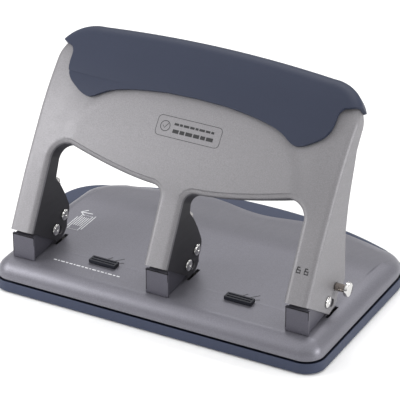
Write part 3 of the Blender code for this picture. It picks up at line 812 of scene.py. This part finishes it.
def skin_surface(chains, corners, skin, turns, planes, relief):
    """Sheet surface: a face bounded by chains, with a bend and flange on each chain.

    A chain point is (x, distance up the face, bend radius, flange depth, flange drop).
    Flanges of every chain but the first get darker copies of the silver paint as painted
    shade that deepens across the bend, and relief adds the raised panel and the fall of the
    strips beside it.
    """
    bm = bmesh.new()
    outline = []
    for number, (chain, extra) in enumerate(zip(chains, corners)):
        columns = []
        for k, (x, a, radius, depth, drop) in enumerate(chain):
            before = chain[max(k - 1, 0)]
            after = chain[min(k + 1, len(chain) - 1)]
            along = Vector((after[0] - before[0], after[1] - before[1])).normalized()
            out = Vector((along.y, -along.x))
            base = Vector((x, a)) - out * radius
            column = []
            for j in range(turns + 1):
                t = math.radians(90 * j / turns)
                flat = base + out * (radius + skin) * math.sin(t)
                back = radius - (radius + skin) * math.cos(t)
                column.append(bm.verts.new((flat.x, flat.y, back)))
            flat = base + out * (radius + skin)
            column.append(bm.verts.new((flat.x, flat.y + drop, depth)))
            columns.append(column)
        for left, right in zip(columns, columns[1:]):
            for j in range(len(left) - 1):
                strip = bm.faces.new((left[j], left[j + 1], right[j + 1], right[j]))
                if number:
                    # window flanges take the painted-shade copies of the silver paint, darker in
                    # two steps across the bend
                    strip.material_index = (j > turns * 0.55) + (j > turns * 0.75)
        outline += [column[0] for column in columns]
        outline += [bm.verts.new((x, a, -skin)) for x, a in extra]
    face = split_faces(bm, [bm.faces.new(outline)], planes)
    if relief:
        for v in {v for f in face for v in f.verts}:
            v.co.z -= PANEL_RISE * panel_share(v.co.x, v.co.y)
        for v in bm.verts:
            v.co.z += side_fall(v.co.x, v.co.y)
    bmesh.ops.triangulate(bm, faces=face)
    for v in bm.verts:
        v.co = on_handle(*v.co)
    return bm


def make_handle():
    window = window_chain()
    right = [(HANDLE_HALF, a, BEND, depth, drop) for a, depth, drop in rounded_ear(OUTER_EAR)]
    right += top_chain()
    outer = right + mirrored(right[:-1])
    planes = [(1, 4.0 * k) for k in range(1, 39)]
    planes += [(0, 4.0 * k + 2.0) for k in range(-29, 29)]
    bm = skin_surface((outer, mirrored(window), window), ((), (), ()), 0.0, 8, planes, True)
    handle = add_object("handle_panel", bm, SILVER)
    # slots 1 and 2 hold the painted-shade copies of the silver paint for the window flanges
    handle.data.materials.append(FLANGE_HALF_SHADE)
    handle.data.materials.append(FLANGE_FULL_SHADE)
    skin = handle.modifiers.new("sheet", 'SOLIDIFY')
    skin.thickness = SHEET * 0.001
    skin.offset = -1.0
    lean = math.radians(HANDLE_LEAN)
    back = Vector((math.cos(lean), -math.sin(lean)))
    across = Vector((-back.y, back.x))
    slot = []
    for middle, first in ((8.0, -90), (0.0, 90)):
        for u, v in arc((middle, 0.0), 2.9, first, first + 180, 12):
            point = Vector(FULCRUM) + back * u + across * v
            slot.append((point.x, point.y))
    reach = HANDLE_HALF + 4
    shape(handle, cuts=[
        rod("drive_holes", DRIVE_R + GAP, -reach, reach, (0, *DRIVE), 'x'),
        rod("lock_hole", LOCK_R + GAP, PITCH + 6.5, PITCH + 12, (0, *DRIVE), 'x'),
        prism("fulcrum_slots", slot, 'x', -reach, reach)])
    even_normals(handle)
    set_piece(handle, "handle", "silver_paint", "handle_shell")


def make_grip():
    lobe = [(106.5, 135.2), (104.2, 132.5), (103.3, 129.0), (103.0, 122.0), (101.3, 116.0),
            (97.0, 110.4), (91.0, 106.2), (86.0, 103.4), (81.0, 102.2), (76.5, 103.6),
            (70.0, 107.6), (61.0, 111.4), (44.0, 115.0), (24.0, 117.5)]
    curve = smooth_path(lobe)
    lower = [(-x, a) for x, a in curve] + [(0.0, 118.2)] + list(reversed(curve))
    right = [(x, a, radius, 12.6, drop) for x, a, radius, _, drop in top_chain()[6:]]
    top = right + mirrored(right[:-1])
    planes = [(1, 104.0 + 4.0 * k) for k in range(13)]
    bm = skin_surface((top,), (lower,), GAP, 8, planes, False)
    grip = add_object("grip_cover", bm, GRIP_RUBBER)
    skin = grip.modifiers.new("moulding", 'SOLIDIFY')
    skin.thickness = 0.0026
    skin.offset = 1.0
    settle(grip)
    soften(grip, 0.9, 4, 50)
    set_piece(grip, "handle", "soft_grip", "handle_grip")


def smooth_path(points):
    """Catmull-Rom curve through the points."""
    out = []
    count = len(points)
    for k in range(count - 1):
        p = [Vector(points[min(max(k + d, 0), count - 1)]) for d in (-1, 0, 1, 2)]
        for j in range(4):
            t = j / 4
            out.append(tuple(0.5 * (2 * p[1] + (p[2] - p[0]) * t
                                    + (2 * p[0] - 5 * p[1] + 4 * p[2] - p[3]) * t * t
                                    + (3 * p[1] - p[0] - 3 * p[2] + p[3]) * t ** 3)))
    return out + [points[-1]]


def make_lock_pin():
    shank = [(0, -9.0), (DRIVE_R - 0.3, -9.0), (DRIVE_R, -8.7), (DRIVE_R, 9.6), (LOCK_R, 9.6),
             (LOCK_R, 17.0), (0, 17.0)]
    pin = turned("lock_pin_shank", shank, (PITCH, *DRIVE), 'x', mat=PIN_STEEL)
    set_piece(pin, "lock", "bright_steel", "lock_pin")
    knob = [(0, 17.0), (4.9, 17.0), (5.2, 17.3), (5.2, 19.0), (4.9, 19.7), (4.2, 20.1),
            (0, 20.2)]
    head = turned("lock_pin_head", knob, (PITCH, *DRIVE), 'x', mat=CHROME)
    set_piece(head, "lock", "bright_steel")


# ---------------------------------------------------------------- printed marks
def strokes(name, paths, width, place, mat, body, slot):
    """Thin ink ribbons along paths of (u, v) points; place puts (u, v, height) on a surface."""
    bm = bmesh.new()
    for path in paths:
        points = [Vector(p) for p in path]
        closed = (points[0] - points[-1]).length < 1e-6
        last = len(points) - 1
        rows = []
        for k, point in enumerate(points):
            before = points[last - 1] if closed and k == 0 else points[max(k - 1, 0)]
            after = points[1] if closed and k == last else points[min(k + 1, last)]
            along = (after - before).normalized()
            side = Vector((-along.y, along.x)) * width / 2
            rows.append([bm.verts.new(place(*(point + side * s), h))
                         for s, h in ((1, 0.02), (1, 0.07), (-1, 0.07), (-1, 0.02))])
        for one, two in zip(rows, rows[1:]):
            for j in range(4):
                n = (j + 1) % 4
                bm.faces.new((one[j], one[n], two[n], two[j]))
        bm.faces.new(rows[0])
        bm.faces.new(list(reversed(rows[-1])))
    mark = add_object(name, bm, mat)
    return set_piece(mark, body, slot)


def on_plate(u, v, height):
    return Vector((u, v, plate_z(v) + height))


def on_face(u, v, height):
    return on_handle(u, v, side_fall(u, v) - PANEL_RISE * panel_share(u, v) - height)


def bars(start, end, v, widths, gap):
    """A row of short strokes that stands for a line of small print."""
    out = []
    u = start
    k = 0
    while u < end:
        out.append([(u, v), (u + widths[k % len(widths)], v)])
        u += widths[k % len(widths)] + gap
        k += 1
    return out


def rounded_frame(u0, v0, u1, v1, radius):
    out = []
    for centre, first in (((u1 - radius, v1 - radius), 0), ((u0 + radius, v1 - radius), 90),
                          ((u0 + radius, v0 + radius), 180), ((u1 - radius, v0 + radius), 270)):
        out += arc(centre, radius, first, first + 90, 5)
    return out + [out[0]]


def make_marks():
    arrow = [[(-98.2, 80.4), (-107.3, 79.4)], [(-103.8, 84.0), (-107.5, 79.4), (-102.8, 75.6)]]
    strokes("paper_direction_mark", arrow, 0.8, on_plate, WHITE_INK, "base", "silver_paint")
    sheet = [[(-104.5, 54.0), (-104.5, 76.5), (-96.0, 76.5), (-96.0, 54.0), (-104.5, 54.0)]]
    sheet += [[(-102.8 + 1.7 * k, 60.0), (-102.8 + 1.7 * k, 73.5)] for k in range(4)]
    sheet += [[(-106.2, 52.0), (-106.2, 72.0)], [(-94.2, 56.0), (-94.2, 78.0)]]
    strokes("paper_stack_mark", sheet, 0.6, on_plate, WHITE_INK, "base", "silver_paint")
    strokes("small_print_bars", bars(-89.0, -36.0, 9.8, (2.4, 1.2, 3.0, 1.8), 1.1), 1.1,
            on_plate, WHITE_INK, "base", "silver_paint")
    for name, side in (("left", -1), ("right", 1)):
        u = side * LATCH_X
        icon = [[(u - 2.0, 26.0), (u + 1.0, 31.5)], [(u + 2.5, 25.5), (u + 9.5, 33.5)],
                [(u + 9.0, 26.5), (u + 12.0, 28.0)]]
        strokes(name + "_latch_mark", icon, 0.7, on_plate, DARK_INK, "base", "silver_paint")
    label = [rounded_frame(-23.5, 87.8, 26.0, 102.2, 3.0)]
    strokes("label_frame", label, 0.35, on_face, DARK_INK, "handle", "silver_paint")
    emblem = [arc((-17.0, 95.0), 3.6, 0, 360, 20), [(-18.8, 95.2), (-17.4, 93.6), (-15.0, 97.0)]]
    strokes("label_emblem", emblem, 0.45, on_face, DARK_INK, "handle", "silver_paint")
    words = bars(-10.5, 21.0, 97.6, (3.4, 2.2, 4.2), 0.8)
    strokes("label_upper_bars", words, 1.6, on_face, DARK_INK, "handle", "silver_paint")
    words = bars(-10.5, 21.0, 92.6, (4.6, 3.6, 5.2), 0.9)
    strokes("label_lower_bars", words, 2.6, on_face, DARK_INK, "handle", "silver_paint")
    for name, u in (("locked", PITCH - 3.2), ("open", PITCH + 2.6)):
        padlock = [[(u - 1.3, 20.2), (u + 1.3, 20.2), (u + 1.3, 22.2), (u - 1.3, 22.2),
                    (u - 1.3, 20.2)], [(u - 0.9, 22.6), (u - 0.9, 24.0), (u + 0.9, 24.0)]]
        strokes(name + "_mark", padlock, 0.95, on_face, DARK_INK, "handle", "silver_paint")


# ---------------------------------------------------------------- studio
def area_light(name, place, target, size, power):
    data = bpy.data.lights.new(name, 'AREA')
    data.shape = 'RECTANGLE'
    data.size, data.size_y = size
    data.energy = power
    lamp = bpy.data.objects.new(name, data)
    lamp.location = place
    aim = Vector(target) - Vector(place)
    lamp.rotation_euler = aim.to_track_quat('-Z', 'Y').to_euler()
    bpy.context.scene.collection.objects.link(lamp)


def make_sky():
    """Soft white overhead light that fades towards the horizon."""
    world = bpy.data.worlds.new("studio")
    world.use_nodes = True
    tree = world.node_tree
    direction = tree.nodes.new("ShaderNodeTexCoord")
    height = tree.nodes.new("ShaderNodeSeparateXYZ")
    tree.links.new(direction.outputs["Generated"], height.inputs[0])
    fade = tree.nodes.new("ShaderNodeMapRange")
    fade.inputs["To Min"].default_value = HORIZON_LIGHT
    fade.inputs["To Max"].default_value = ZENITH_LIGHT
    tree.links.new(height.outputs["Z"], fade.inputs["Value"])
    sky = tree.nodes["Background"]
    sky.inputs["Color"].default_value = (1.0, 1.0, 1.0, 1.0)
    tree.links.new(fade.outputs[0], sky.inputs["Strength"])
    return world


def make_studio():
    bm = bmesh.new()
    bmesh.ops.create_grid(bm, x_segments=2, y_segments=2, size=4.0)
    mesh = bpy.data.meshes.new("floor")
    bm.to_mesh(mesh)
    bm.free()
    floor = bpy.data.objects.new("floor", mesh)
    bpy.context.scene.collection.objects.link(floor)
    white = Nodes("floor_paper")
    white.link(white.mix(white.noise(0.01, 2.0), (0.86, 0.86, 0.86), (0.9, 0.9, 0.9)),
               white.shader.inputs["Base Color"])
    white.shader.inputs["Roughness"].default_value = 0.9
    mesh.materials.append(white.mat)
    bpy.context.scene.world = make_sky()
    bpy.context.scene.view_settings.view_transform = 'Standard'
    middle = (0.0, 0.0, 0.06)
    area_light("key", (-0.42, -0.36, 0.3), middle, (0.3, 0.3), 2.0)
    area_light("side", (1.4, 0.1, 0.3), middle, (0.5, 0.3), 8)
    area_light("top_back", (-0.1, 1.0, 1.5), middle, (1.6, 0.6), 12)


def make_camera():
    """Long lens from the front right, looking down at about 28 degrees."""
    data = bpy.data.cameras.new("camera")
    data.lens = 233.4
    data.clip_end = 20
    camera = bpy.data.objects.new("camera", data)
    bpy.context.scene.collection.objects.link(camera)
    place = to_world(758.2, -1354.6, 933.7)
    target = to_world(2.15, 59.15, 70.14)
    camera.location = place
    turn = (target - place).to_track_quat('-Z', 'Y').to_matrix().to_4x4()
    roll = Matrix.Rotation(math.radians(0.1), 4, 'Z')
    camera.rotation_euler = (turn @ roll).to_euler()
    bpy.context.scene.camera = camera


def main():
    make_camera()
    make_studio()
    make_tray()
    make_feet()
    make_plate()
    make_latches()
    for name, x in HEADS:
        make_bracket(name, x)
        make_box_seams(name, x)
        make_pin(name + "_fulcrum_pin", x, FULCRUM, FULCRUM_R, "base")
        make_punch(name, x)
        make_spring(name, x)
        make_small_steel(name, x)
    for name, x in HEADS[:2]:
        make_pin(name + "_drive_pin", x, DRIVE, DRIVE_R, "handle")
    make_handle()
    make_grip()
    make_lock_pin()
    make_marks()
    rail = frame["nodes"]["die_rail"]
    rail.data.materials.clear()
    rail.data.materials.append(STEEL)
    soften(rail, 0.2, 2)


main()
